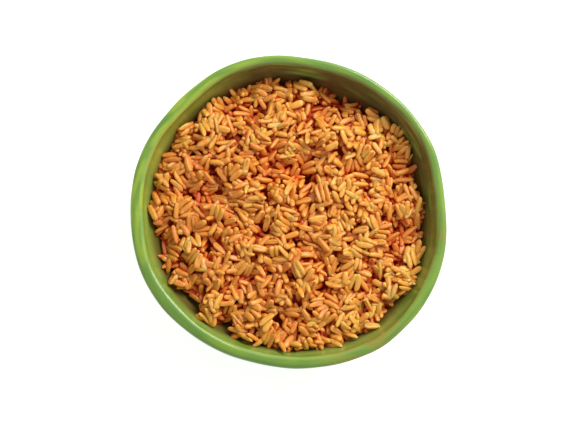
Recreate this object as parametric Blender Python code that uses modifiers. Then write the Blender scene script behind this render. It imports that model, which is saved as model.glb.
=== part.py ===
"""A hand-made glazed bowl, filled nearly to its lip with cooked long-grain rice.

The bowl is one turned piece, pressed a little out of round by hand. The rice is one heap that fills it
from the floor up, with a relief of grains of true size on top. Lengths are in metres, +Z is up, and the
origin is the middle of the bowl's box on the surface that the foot stands on.
"""

import math
import random

import bmesh
import bpy
import numpy as np
from mathutils import Matrix, Vector, noise

MM = 0.001

# Bowl
RIM_RADIUS = 82.5 * MM  # mean radius to the outside of the lip
BOWL_HEIGHT = 63.0 * MM
WALL = 5.8 * MM  # at the lip
LIP_RISE = 2.2 * MM  # height of the lip's rounding
LIP_SQUARENESS = 2.8  # 2 is a round lip, more is flatter on top with tighter edges
BASE = 8.6 * MM  # what the wall thickens to at the floor
FLOOR_LEVEL = 9.5 * MM  # inside, at the middle
WALL_FULLNESS = 1.8  # over 2 the wall stays upright for longer, under 2 it flares
FLOOR_FULLNESS = 2.3  # the higher, the flatter the floor
FOOT_RADIUS = 41.0 * MM
FOOT_WIDTH = 6.5 * MM
FOOT_RECESS = 3.5 * MM
FOOT_EDGE = 0.8 * MM  # bevel of the foot's two edges
TURN_STEPS = 72
WALL_STEPS = 9
LIP_STEPS = 8
SEAM_MERGE = 0.05 * MM  # joins the turned shape's seam and its two poles

# The hand-shaped lip, as long waves round it: number of waves, depth, azimuth of one crest in degrees
LIP_WAVES = ((2, 1.1 * MM, 147), (3, 0.7 * MM, 77), (4, 0.7 * MM, 37), (5, 0.35 * MM, 33), (6, 0.3 * MM, 38))
LIP_LIFTS = ((2, 0.4 * MM, 60), (3, 0.3 * MM, 200))
LIFT_ONSET = 3  # the higher, the more of the lift stays near the lip

# Heap of rice
BOWL_GAP = 0.35 * MM  # between the rice and the glaze
CROWN_LEVEL = 53.6 * MM
HEAP_SAG = 3.6 * MM  # from the crown to just short of the wall
EDGE_DROP = 4.6 * MM  # further fall where the rice meets the wall
EDGE_ONSET = 12  # the higher, the closer to the wall this fall begins
HEAP_RADIUS = 73.0 * MM
LUMP_HEIGHT = 1.5 * MM
LUMP_LENGTH = 19.0 * MM
# Where the heap falls short of the wall: azimuth and spread in degrees, depth
HOLLOWS = ((63, 13, 5.0 * MM), (17, 8, 2.5 * MM), (322, 9, 4.5 * MM), (192, 8, 3.0 * MM), (222, 9, 3.0 * MM))
HOLLOW_ONSET = 14  # the higher, the closer to the wall a hollow stays

# Relief of grains
GRAIN_LENGTH = 8.4 * MM
GRAIN_WIDTH = 2.7 * MM
GRAIN_PITCH = 3.9 * MM
GRAIN_BLUNTNESS = 2.8  # 2 is an ellipse, more is blunter at the ends
GRAIN_LENGTHS = (0.75, 1.15)  # shortest and longest, as shares of GRAIN_LENGTH
GRAIN_WIDTHS = (0.85, 1.15)
GRAIN_SLOPE = 0.16  # typical slope of a grain along its length
GRAIN_LAYERS = 0.75 * MM  # how far grains lie above or below the heap's surface
RELIEF_STEP = 0.6 * MM
RELIEF_TRIANGLES_KEPT = 0.066
RELIEF_MARGIN = 1.5 * MM  # how far the relief runs past the wall, before it is cut
SEED = 7

GLAZE_GREEN = (0.13, 0.36, 0.04, 1.0)
GLAZE_ROUGHNESS = 0.25
RICE_ORANGE = (0.72, 0.24, 0.04, 1.0)
RICE_ROUGHNESS = 0.5


def clear_scene():
    for item in list(bpy.data.objects):
        bpy.data.objects.remove(item)


def material(name, colour, roughness):
    made = bpy.data.materials.new(name)
    made.use_nodes = True
    shader = made.node_tree.nodes["Principled BSDF"]
    shader.inputs["Base Color"].default_value = colour
    shader.inputs["Roughness"].default_value = roughness
    shader.inputs["Metallic"].default_value = 0.0
    return made


def collection(name):
    made = bpy.data.collections.new(name)
    bpy.context.scene.collection.children.link(made)
    return made


def wave_sum(waves, azimuth):
    """Height of the summed waves at an azimuth in radians."""
    return sum(depth * math.cos(count * (azimuth - math.radians(crest))) for count, depth, crest in waves)


def pressed_out_of_round(point):
    """Where the potter's hands leave a point of the turned shape: the lip moves most, the foot not at all."""
    azimuth = math.atan2(point.y, point.x)
    radius = math.hypot(point.x, point.y)
    share = max(0.0, point.z / BOWL_HEIGHT)
    moved = radius + wave_sum(LIP_WAVES, azimuth) * share * min(1.0, radius / FOOT_RADIUS)
    lifted = point.z + wave_sum(LIP_LIFTS, azimuth) * share**LIFT_ONSET
    return Vector((moved * math.cos(azimuth), moved * math.sin(azimuth), lifted))


def wall_profile(outward_at_lip=0.0, outward_at_floor=0.0):
    """Profile of the inside from the floor's middle to the lip, moved outward along its normal."""
    top = BOWL_HEIGHT - LIP_RISE
    depth = top - FLOOR_LEVEL
    radius = RIM_RADIUS - WALL
    points = []
    for step in range(WALL_STEPS + 1):
        turn = math.pi / 2 * (1 - step / WALL_STEPS)
        sine, cosine = math.sin(turn), max(0.0, math.cos(turn))
        across = radius * cosine ** (2 / FLOOR_FULLNESS)
        level = top - depth * sine ** (2 / WALL_FULLNESS)
        normal = wall_normal(across / radius, (top - level) / depth, radius, depth)
        share = (top - level) / depth
        outward = outward_at_lip + (outward_at_floor - outward_at_lip) * share
        points.append((across + outward * normal[0], level + outward * normal[1]))
    return points


def wall_normal(across_share, depth_share, radius, depth):
    """Unit normal of the wall's curve, pointing out of the bowl, as (across, up)."""
    across = FLOOR_FULLNESS * across_share ** (FLOOR_FULLNESS - 1) / radius
    down = WALL_FULLNESS * depth_share ** (WALL_FULLNESS - 1) / depth
    length = math.hypot(across, down)
    return across / length, -down / length


def lip():
    """Rounding over the top of the wall, from inside to outside, without its two ends."""
    middle = RIM_RADIUS - WALL / 2
    base = BOWL_HEIGHT - LIP_RISE
    points = []
    for step in range(1, LIP_STEPS):
        turn = math.pi * (1 - step / LIP_STEPS)
        aside = math.copysign(abs(math.cos(turn)) ** (2 / LIP_SQUARENESS), math.cos(turn))
        up = math.sin(turn) ** (2 / LIP_SQUARENESS)
        points.append((middle + WALL / 2 * aside, base + LIP_RISE * up))
    return points


def foot():
    """Ring that the bowl stands on, from its outer edge in to the middle of the recess."""
    inner = FOOT_RADIUS - FOOT_WIDTH
    return [
        (FOOT_RADIUS, FOOT_EDGE),
        (FOOT_RADIUS - FOOT_EDGE, 0.0),
        (inner + FOOT_EDGE, 0.0),
        (inner, FOOT_EDGE),
        (inner, FOOT_RECESS),
        (0.0, FOOT_RECESS),
    ]


def turned(name, profile, target):
    """A solid turned from a profile that starts and ends on the axis and runs down its outer side."""
    mesh = bpy.data.meshes.new(name)
    edges = [(i, i + 1) for i in range(len(profile) - 1)]
    mesh.from_pydata([(across, 0.0, level) for across, level in profile], edges, [])
    made = bpy.data.objects.new(name, mesh)
    target.objects.link(made)
    screw = made.modifiers.new("Turn", "SCREW")
    screw.steps = screw.render_steps = TURN_STEPS
    screw.use_merge_vertices = True
    screw.merge_threshold = SEAM_MERGE
    bake_modifiers(made)
    for vertex in made.data.vertices:
        vertex.co = pressed_out_of_round(vertex.co)
    return made


def bake_modifiers(made):
    graph = bpy.context.evaluated_depsgraph_get()
    mesh = bpy.data.meshes.new_from_object(made.evaluated_get(graph))
    made.modifiers.clear()
    old, made.data = made.data, mesh
    bpy.data.meshes.remove(old)


def bowl_profile():
    outer = [point for point in wall_profile(WALL, BASE) if point[0] > FOOT_RADIUS]
    return wall_profile() + lip() + outer[::-1] + foot()


def cavity_profile():
    """The room for the rice: a gap inside the glaze, closed across at the lip."""
    wall = wall_profile(-BOWL_GAP, -BOWL_GAP)
    return [(0.0, wall[-1][1])] + wall[::-1]


def heap_level(x, y):
    """Height of the rice's mean surface, without its grains."""
    share = math.hypot(x, y) / HEAP_RADIUS
    azimuth = math.degrees(math.atan2(y, x))
    level = CROWN_LEVEL - HEAP_SAG * share**2 - EDGE_DROP * share**EDGE_ONSET
    for middle, spread, depth in HOLLOWS:
        away = (azimuth - middle + 180) % 360 - 180
        level -= depth * math.exp(-((away / spread) ** 2)) * min(1.0, share) ** HOLLOW_ONSET
    lumps = noise.noise(Vector((x / LUMP_LENGTH, y / LUMP_LENGTH, SEED)))
    return level + LUMP_HEIGHT * lumps


def grain_places(rng):
    """Middles of the grains: a triangular lattice, each moved at random by up to half its pitch."""
    rows = math.ceil(HEAP_RADIUS / (GRAIN_PITCH * math.sqrt(3) / 2))
    columns = math.ceil(HEAP_RADIUS / GRAIN_PITCH)
    for row in range(-rows, rows + 1):
        for column in range(-columns, columns + 1):
            x = (column + 0.5 * (row % 2) + rng.uniform(-0.5, 0.5)) * GRAIN_PITCH
            y = (row * math.sqrt(3) / 2 + rng.uniform(-0.5, 0.5)) * GRAIN_PITCH
            if math.hypot(x, y) < HEAP_RADIUS + GRAIN_PITCH:
                yield x, y


def relief_heights(axis_points):
    """Upper surface of the heap on a square grid: the mean surface with every grain laid on it."""
    levels = np.array([[heap_level(x, y) for x in axis_points] for y in axis_points])
    columns, rows = np.meshgrid(axis_points, axis_points)
    surface = levels - GRAIN_WIDTH / 2
    rng = random.Random(SEED)
    for x, y in grain_places(rng):
        heading = rng.uniform(0.0, math.pi)
        length = GRAIN_LENGTH * rng.uniform(*GRAIN_LENGTHS)
        width = GRAIN_WIDTH * rng.uniform(*GRAIN_WIDTHS)
        lift = GRAIN_LAYERS * rng.uniform(-1.0, 1.0)
        slope = rng.gauss(0.0, GRAIN_SLOPE)
        near = (np.abs(columns - x) < length / 2) & (np.abs(rows - y) < length / 2)
        across, up = columns[near] - x, rows[near] - y
        along = (across * math.cos(heading) + up * math.sin(heading)) / (length / 2)
        aside = (up * math.cos(heading) - across * math.sin(heading)) / (width / 2)
        rise = 1.0 - np.abs(along) ** GRAIN_BLUNTNESS - aside**2
        top = levels[near] + lift + slope * along * length / 2 + width / 2 * np.sqrt(np.maximum(rise, 0.0))
        surface[near] = np.where(rise > 0.0, np.maximum(surface[near], top), surface[near])
    return surface


def relief_block(name, target):
    """A square block under the heap's surface, level outside the wall, with the relief thinned to its ridges."""
    half = HEAP_RADIUS + RELIEF_MARGIN
    cells = round(2 * half / RELIEF_STEP)
    axis_points = np.linspace(-half, half, cells + 1)
    heights = relief_heights(axis_points)
    columns, rows = np.meshgrid(axis_points, axis_points)
    edge_level = CROWN_LEVEL - HEAP_SAG - EDGE_DROP
    heights[np.hypot(columns, rows) > half] = edge_level
    shape = bmesh.new()
    bmesh.ops.create_grid(shape, x_segments=cells, y_segments=cells, size=half)
    for vertex in shape.verts:
        column = round((vertex.co.x + half) / (2 * half) * cells)
        row = round((vertex.co.y + half) / (2 * half) * cells)
        vertex.co.z = heights[row, column]
    border = [edge for edge in shape.edges if edge.is_boundary]
    walls = bmesh.ops.extrude_edge_only(shape, edges=border)["geom"]
    for vertex in [item for item in walls if isinstance(item, bmesh.types.BMVert)]:
        vertex.co.z = 0.0
    low_border = [edge for edge in shape.edges if edge.is_boundary]
    bmesh.ops.contextual_create(shape, geom=low_border)
    bmesh.ops.recalc_face_normals(shape, faces=shape.faces)
    mesh = bpy.data.meshes.new(name)
    shape.to_mesh(mesh)
    shape.free()
    made = bpy.data.objects.new(name, mesh)
    target.objects.link(made)
    thin = made.modifiers.new("Thin", "DECIMATE")
    thin.ratio = RELIEF_TRIANGLES_KEPT
    bake_modifiers(made)
    return made


def connected(start):
    """The vertices that edges join to one vertex, itself included."""
    found, waiting = {start}, [start]
    while waiting:
        vertex = waiting.pop()
        for edge in vertex.link_edges:
            other = edge.other_vert(vertex)
            if other not in found:
                found.add(other)
                waiting.append(other)
    return found


def drop_scraps(made):
    """Keeps only the largest connected piece of a mesh: a grain's tip can be cut loose at the wall."""
    shape = bmesh.new()
    shape.from_mesh(made.data)
    left, pieces = set(shape.verts), []
    while left:
        pieces.append(connected(next(iter(left))))
        left -= pieces[-1]
    largest = max(pieces, key=len)
    scraps = [vertex for vertex in shape.verts if vertex not in largest]
    bmesh.ops.delete(shape, geom=scraps, context="VERTS")
    shape.to_mesh(made.data)
    shape.free()


def rice_heap(target, cutters):
    """The heap: the relief block, cut to the room inside the bowl."""
    heap = relief_block("rice", target)
    cavity = turned("room_for_rice", cavity_profile(), cutters)
    cavity.hide_render = True
    cavity.display_type = "WIRE"
    cut = heap.modifiers.new("Fill bowl", "BOOLEAN")
    cut.operation = "INTERSECT"
    cut.object = cavity
    bake_modifiers(heap)
    bpy.data.objects.remove(cavity)
    drop_scraps(heap)
    return heap


def middle_of_box(made):
    corners = [vertex.co for vertex in made.data.vertices]
    return Vector(
        (
            (min(c.x for c in corners) + max(c.x for c in corners)) / 2,
            (min(c.y for c in corners) + max(c.y for c in corners)) / 2,
            0.0,
        )
    )


def build():
    clear_scene()
    dish = collection("bowl_of_rice")
    cutters = collection("cutters")
    bowl = turned("bowl", bowl_profile(), dish)
    heap = rice_heap(dish, cutters)
    to_origin = Matrix.Translation(-middle_of_box(bowl))
    for made in (bowl, heap):
        made.data.transform(to_origin)
    bowl.data.materials.append(material("green_glaze", GLAZE_GREEN, GLAZE_ROUGHNESS))
    bowl.data.shade_smooth()
    heap.data.materials.append(material("cooked_rice", RICE_ORANGE, RICE_ROUGHNESS))


build()
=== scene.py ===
"""The looks of a bowl of rice: a hand-made green glazed bowl, heaped with loose orange long-grain rice.

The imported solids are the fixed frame. The bowl is turned again with a finer lip, hand marks and a mottled
glaze, and the heap is laid again grain by grain over a core of its own. Lengths are in metres, +Z is up,
and the bowl's foot stands on the floor at the origin.
"""

import logging
import math
from dataclasses import dataclass, field
from enum import Enum
from typing import Any, Iterable, Iterator, Sequence, Union

import bpy
import numpy as np
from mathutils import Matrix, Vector, noise


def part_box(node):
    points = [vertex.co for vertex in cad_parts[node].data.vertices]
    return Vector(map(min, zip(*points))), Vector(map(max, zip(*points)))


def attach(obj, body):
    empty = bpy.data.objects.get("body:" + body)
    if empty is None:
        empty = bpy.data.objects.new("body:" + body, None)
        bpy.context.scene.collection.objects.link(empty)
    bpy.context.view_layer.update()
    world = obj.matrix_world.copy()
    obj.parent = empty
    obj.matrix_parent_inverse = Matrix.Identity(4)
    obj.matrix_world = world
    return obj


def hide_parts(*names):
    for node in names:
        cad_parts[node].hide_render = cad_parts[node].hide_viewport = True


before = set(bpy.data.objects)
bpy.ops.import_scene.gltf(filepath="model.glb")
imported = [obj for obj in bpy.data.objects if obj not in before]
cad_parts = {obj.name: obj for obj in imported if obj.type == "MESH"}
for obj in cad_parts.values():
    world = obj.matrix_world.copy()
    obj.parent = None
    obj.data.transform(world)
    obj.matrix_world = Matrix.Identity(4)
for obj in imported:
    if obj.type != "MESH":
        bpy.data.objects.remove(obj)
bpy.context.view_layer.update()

MM = 0.001
SEED = 7
Colour = tuple[float, float, float, float]
Wave = tuple[int, float, float]  # number of waves round the bowl, depth, azimuth of one crest in degrees
Patch = tuple[float, float]  # azimuth of its middle and reach to either side, in degrees
Array = np.ndarray
Faces = list[tuple[int, ...]]


class Signal:
    """A shader socket that takes part in Python arithmetic, where each operation adds its Math node."""

    def __init__(self, graph: "FinishGraph", socket: bpy.types.NodeSocket) -> None:
        """Keeps the graph that new nodes go into, and the socket that is read."""
        self.graph = graph
        self.socket = socket

    def _math(self, operation: str, *terms: "Term") -> "Signal":
        """A Math node with this operation on these terms."""
        return self.graph.node("ShaderNodeMath", {"operation": operation}, dict(enumerate(terms)))

    def __add__(self, other: "Term") -> "Signal":
        """The sum."""
        return self._math("ADD", self, other)

    def __radd__(self, other: "Term") -> "Signal":
        """The sum, with the number first."""
        return self._math("ADD", other, self)

    def __sub__(self, other: "Term") -> "Signal":
        """The difference."""
        return self._math("SUBTRACT", self, other)

    def __rsub__(self, other: "Term") -> "Signal":
        """The difference, with the number first."""
        return self._math("SUBTRACT", other, self)

    def __mul__(self, other: "Term") -> "Signal":
        """The product."""
        return self._math("MULTIPLY", self, other)

    def __rmul__(self, other: "Term") -> "Signal":
        """The product, with the number first."""
        return self._math("MULTIPLY", other, self)

    def rising(self, low: float, high: float) -> "Signal":
        """A smooth step that is 0 up to low and 1 from high on.

        Args:
            low: Value where the step starts.
            high: Value where the step ends.

        Returns:
            The step, from 0 to 1.
        """
        values = {"Value": self, "From Min": low, "From Max": high}
        return self.graph.node("ShaderNodeMapRange", {"interpolation_type": "SMOOTHSTEP"}, values)


Term = Union[Signal, float]


class FinishGraph:
    """The shader nodes of one finish, which feed one Principled shader."""

    MIX_SHARE, MIX_UNDER, MIX_OVER, MIX_RESULT = 0, 6, 7, 2

    def __init__(self, name: str, settings: dict[str, Any]) -> None:
        """Makes the material.

        Args:
            name: The material's name.
            settings: Values that are the same all over, by the name of the shader's socket.
        """
        self.material = bpy.data.materials.new(name)
        self.material.use_nodes = True
        self.shader = self.material.node_tree.nodes["Principled BSDF"]
        for socket, value in settings.items():
            self.shader.inputs[socket].default_value = value

    def node(self, kind: str, settings: dict[str, Any], values: dict[Any, Any], output: Any = 0) -> Signal:
        """Adds a node.

        Args:
            kind: Blender's name for the node type.
            settings: The node's own settings, which are set first.
            values: A number, colour or signal for each input, by the input's name or number.
            output: Name or number of the output to read.

        Returns:
            The output as a signal.
        """
        made = self.material.node_tree.nodes.new(kind)
        for name, value in settings.items():
            setattr(made, name, value)
        for key, value in values.items():
            self._feed(made.inputs[key], value)
        return Signal(self, made.outputs[output])

    def drive(self, **signals: Signal) -> None:
        """Links signals to the shader's sockets, given with _ for a space."""
        for name, value in signals.items():
            self._feed(self.shader.inputs[name.replace("_", " ")], value)

    def _feed(self, socket: bpy.types.NodeSocket, value: Any) -> None:
        """Links a signal to a socket, or sets the socket's own value.

        Args:
            socket: The input.
            value: A signal, number or colour.
        """
        if isinstance(value, Signal):
            self.material.node_tree.links.new(value.socket, socket)
        else:
            socket.default_value = value

    def mix(self, under: Any, over: Any, share: Term) -> Signal:
        """A colour between two others.

        Args:
            under: Colour at share 0.
            over: Colour at share 1.
            share: How much of the second colour shows.

        Returns:
            The mixed colour.
        """
        values = {self.MIX_SHARE: share, self.MIX_UNDER: under, self.MIX_OVER: over}
        return self.node("ShaderNodeMix", {"data_type": "RGBA"}, values, self.MIX_RESULT)

    def place(self) -> Signal:
        """The point on the object, in metres."""
        return self.node("ShaderNodeTexCoord", {}, {}, "Object")

    def mark(self, name: str) -> Signal:
        """A number that the mesh carries at each point."""
        return self.node("ShaderNodeAttribute", {"attribute_name": name}, {}, "Fac")

    def mottle(self, size: float, detail: float = 2.0, distortion: float = 0.0) -> Signal:
        """Soft noise over the surface, mostly from 0.3 to 0.7.

        Args:
            size: Typical size of its spots, in metres.
            detail: How many finer layers it has.
            distortion: How much its spots are stirred.

        Returns:
            The noise.
        """
        values = {"Vector": self.place(), "Scale": 1 / size, "Detail": detail, "Distortion": distortion}
        return self.node("ShaderNodeTexNoise", {}, values)

    def bumped(self, height: Signal, distance: float, strength: float) -> Signal:
        """A surface normal that follows a height.

        Args:
            height: The height, from 0 to 1.
            distance: Depth of the relief from 0 to 1, in metres.
            strength: How much of it shows.

        Returns:
            The normal.
        """
        values = {"Height": height, "Distance": distance, "Strength": strength}
        return self.node("ShaderNodeBump", {}, values)


@dataclass(frozen=True)
class Glaze:
    """Glossy hand-applied glaze: leaf green, breaking to yellow green, and dull ochre where it ran thin."""

    leaf: Colour = (0.180, 0.330, 0.034, 1.0)
    deep: Colour = (0.125, 0.262, 0.032, 1.0)
    yellow: Colour = (0.310, 0.430, 0.034, 1.0)
    lining: Colour = (0.310, 0.440, 0.080, 1.0)
    ochre: Colour = (0.285, 0.235, 0.034, 1.0)
    straw: Colour = (0.420, 0.410, 0.048, 1.0)
    # Painted shade colour for the inside's shaded side.
    painted_shade_brown: Colour = (0.118, 0.088, 0.030, 1.0)
    painted_shade_green: Colour = (0.070, 0.195, 0.028, 1.0)
    sauce_stain_and_shade: Colour = (0.125, 0.046, 0.012, 1.0)
    roughness: float = 0.34

    def material(self) -> bpy.types.Material:
        """Builds the glaze.

        Returns:
            The material.
        """
        graph = FinishGraph("glaze", {"IOR": 1.45, "Coat Roughness": 0.07, "Coat IOR": 1.5})
        broad = graph.mottle(26 * MM, 2.0, 0.4)
        runs = graph.mottle(11 * MM, 3.0, 0.8)
        specks = graph.mottle(1.6 * MM, 2.0)
        strokes = graph.mark("strokes")
        inside = graph.mark("inside")
        green = graph.mix(self.deep, self.leaf, (broad + 0.3 * strokes).rising(0.22, 0.64))
        yellowed = (0.6 * runs + 0.7 * strokes).rising(0.10, 0.55) * (0.85 * graph.mark("yellow") + 0.15)
        green = graph.mix(green, self.yellow, yellowed)
        green = graph.mix(green, self.lining, inside * (runs - 0.4 * strokes).rising(0.20, 0.60) * 0.8)
        thin = graph.mark("ochre") * (runs + 0.5 * strokes).rising(0.25, 0.60)
        dry = inside * graph.mark("straw") * (broad + 0.5 * strokes).rising(0.10, 0.50)
        green = graph.mix(green, self.ochre, thin * 0.9)
        green = graph.mix(green, self.straw, dry * 0.8)
        # Painted shade, with the rice's orange bounce: brown where the inside faces away from the light.
        shade_brown_share = inside * graph.mark("painted_shade_brown") * (broad + 0.5 * strokes).rising(0.05, 0.55)
        green = graph.mix(green, self.painted_shade_brown, shade_brown_share * 0.95)
        # Painted shade: darker green on the outer shoulder that faces away from the light.
        thick = graph.mark("painted_shade_green") * (broad + 0.3 * strokes).rising(0.05, 0.50)
        green = graph.mix(green, self.painted_shade_green, thick * 0.9)
        # Sauce stain and painted shade: darker red brown low on the inside, where the wall meets the rice.
        green = graph.mix(green, self.sauce_stain_and_shade, graph.mark("stain_and_shade") * (0.55 + 0.5 * runs))
        green = graph.mix(green, self.deep, specks.rising(0.60, 0.75) * 0.25)
        graph.drive(
            Base_Color=green,
            Roughness=self.roughness + 0.14 * runs + 0.30 * thin,
            Coat_Weight=0.42 - 0.42 * thin,
            Normal=graph.bumped(runs + 0.4 * specks, 0.35 * MM, 0.5),
        )
        return graph.material


@dataclass(frozen=True)
class CookedRice:
    """Moist cooked grains, from russet through orange to gold, with painted shade: darker red where they lie
    deep or hidden from the sky, partly as sauce that gathers there.
    """

    # Painted shade colours, partly sauce: used where grains lie deep or are hidden from the sky.
    sauce_and_shade: Colour = (0.680, 0.104, 0.015, 1.0)
    stained_and_shaded: Colour = (0.705, 0.200, 0.025, 1.0)
    pit_sauce_and_shade: Colour = (0.650, 0.053, 0.008, 1.0)
    russet: Colour = (0.630, 0.185, 0.026, 1.0)
    orange: Colour = (0.745, 0.290, 0.042, 1.0)
    gold: Colour = (0.825, 0.430, 0.074, 1.0)
    pale: Colour = (0.800, 0.570, 0.240, 1.0)
    roughness: float = 0.42
    scatter: float = 0.70
    scatter_reach: tuple[float, float, float] = (1.0, 0.46, 0.16)

    def material(self) -> bpy.types.Material:
        """Builds the finish of the grains.

        Returns:
            The material.
        """
        settings = {
            "IOR": 1.38,
            "Subsurface Weight": self.scatter,
            "Subsurface Radius": self.scatter_reach,
            "Subsurface Scale": 2.2 * MM,
            "Coat Roughness": 0.22,
        }
        graph = FinishGraph("cooked_rice", settings)
        tone = graph.mark("tone")
        sunk = graph.mark("sunk")
        blush = graph.mottle(2.6 * MM, 2.0)
        skin = graph.mottle(0.5 * MM, 2.0)
        warmth = tone + 0.8 * (blush - 0.5)
        colour = graph.mix(self.russet, self.orange, warmth.rising(0.05, 0.42))
        colour = graph.mix(colour, self.gold, warmth.rising(0.38, 0.86))
        colour = graph.mix(colour, self.pale, warmth.rising(0.92, 1.15) * 0.7)
        colour = graph.mix(colour, self.pale, graph.mark("tip") * 0.12)
        # Painted shade, partly sauce: the sunk and low marks turn points darker red where grains lie deep or
        # are hidden from the sky.
        colour = graph.mix(colour, self.stained_and_shaded, sunk.rising(0.0, 0.6))
        colour = graph.mix(colour, self.sauce_and_shade, sunk.rising(0.4, 1.0))
        colour = graph.mix(colour, self.pit_sauce_and_shade, graph.mark("low").rising(0.45, 1.0))
        graph.drive(
            Base_Color=colour,
            Roughness=self.roughness + 0.2 * (skin - 0.5),
            Coat_Weight=0.38 * blush,
            Normal=graph.bumped(skin, 0.12 * MM, 0.35),
        )
        return graph.material


@dataclass(frozen=True)
class SauceAndShadeCore:
    """What shows in the gaps between the grains: rice coloured dark red, partly sauce and partly painted shade
    for the deep gaps.
    """

    # Painted shade, partly sauce: dark red for the rice seen deep in the gaps.
    colour: Colour = (0.580, 0.032, 0.006, 1.0)
    lighter: Colour = (0.680, 0.052, 0.008, 1.0)

    def material(self) -> bpy.types.Material:
        """Builds the finish of the core.

        Returns:
            The material.
        """
        graph = FinishGraph("sauce_and_shade_core", {"Roughness": 0.6})
        spots = graph.mottle(3 * MM, 2.0)
        graph.drive(Base_Color=graph.mix(self.colour, self.lighter, spots.rising(0.4, 0.65)))
        return graph.material


@dataclass(frozen=True)
class PaleFloor:
    """Plain matte white studio floor, a little lit from below."""

    colour: Colour = (0.90, 0.90, 0.90, 1.0)
    glow: float = 0.70

    def material(self) -> bpy.types.Material:
        """Builds the finish of the floor.

        Returns:
            The material.
        """
        settings = {
            "Base Color": self.colour,
            "Roughness": 0.9,
            "Emission Color": self.colour,
            "Emission Strength": self.glow,
        }
        return FinishGraph("pale_floor", settings).material


def ring_faces(rings: int, sides: int) -> Faces:
    """Faces of a closed shape made of rings of points between two poles.

    The points are the first pole, each ring in turn, and the last pole.

    Args:
        rings: Number of rings.
        sides: Number of points in each ring.

    Returns:
        The faces, as tuples of point numbers.
    """
    last = rings * sides + 1
    faces: Faces = []
    for side in range(sides):
        after = (side + 1) % sides
        faces.append((0, 1 + after, 1 + side))
        for ring in range(rings - 1):
            low, high = 1 + ring * sides, 1 + (ring + 1) * sides
            faces.append((low + side, low + after, high + after, high + side))
        top = last - sides
        faces.append((top + side, top + after, last))
    return faces


def mesh_piece(name: str, points: Array, faces: Faces, marks: dict[str, Array]) -> bpy.types.Object:
    """A smooth mesh object in the scene, with its faces pointing out.

    Args:
        name: Name of the piece.
        points: One row of x, y and z for each point.
        faces: Tuples of point numbers.
        marks: Numbers that the mesh carries at each point, by name.

    Returns:
        The object.
    """
    mesh = bpy.data.meshes.new(name)
    mesh.from_pydata(points.tolist(), [], faces)
    for mark, values in marks.items():
        layer = mesh.attributes.new(mark, "FLOAT", "POINT")
        layer.data.foreach_set("value", np.asarray(values, np.float32).ravel())
    mesh.shade_smooth()
    made = bpy.data.objects.new(name, mesh)
    bpy.context.scene.collection.objects.link(made)
    return made


def wave_sum(waves: tuple[Wave, ...], azimuth: Array) -> Array:
    """Height of the summed waves at azimuths in radians."""
    return sum(depth * np.cos(count * (azimuth - math.radians(crest))) for count, depth, crest in waves)


def noise_at(spots: Iterable[Sequence[float]], size: float = 1.0) -> Array:
    """Soft noise with spots of about this size, mostly from -0.5 to 0.5, at places given as x, y and z."""
    return np.array([noise.noise(Vector(spot) / size) for spot in spots])


def bell(azimuth: Array, middle: float, spread: float) -> Array:
    """A soft bump round an azimuth.

    Args:
        azimuth: Azimuths in radians.
        middle: Azimuth of the bump's top in degrees.
        spread: How far it reaches to either side, in degrees.

    Returns:
        1 at the middle, falling to 0.
    """
    away = (np.degrees(azimuth) - middle + 180) % 360 - 180
    return np.exp(-((away / spread) ** 2))


def patch_sum(patches: tuple[Patch, ...], azimuth: Array) -> Array:
    """How much of the summed patches there is at azimuths in radians."""
    return sum(bell(azimuth, *patch) for patch in patches)


def direction(azimuth: float, elevation: float) -> Vector:
    """The unit vector at an azimuth and an elevation, both in degrees."""
    turn, rise = math.radians(azimuth), math.radians(elevation)
    return Vector((math.cos(rise) * math.cos(turn), math.cos(rise) * math.sin(turn), math.sin(rise)))


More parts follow.
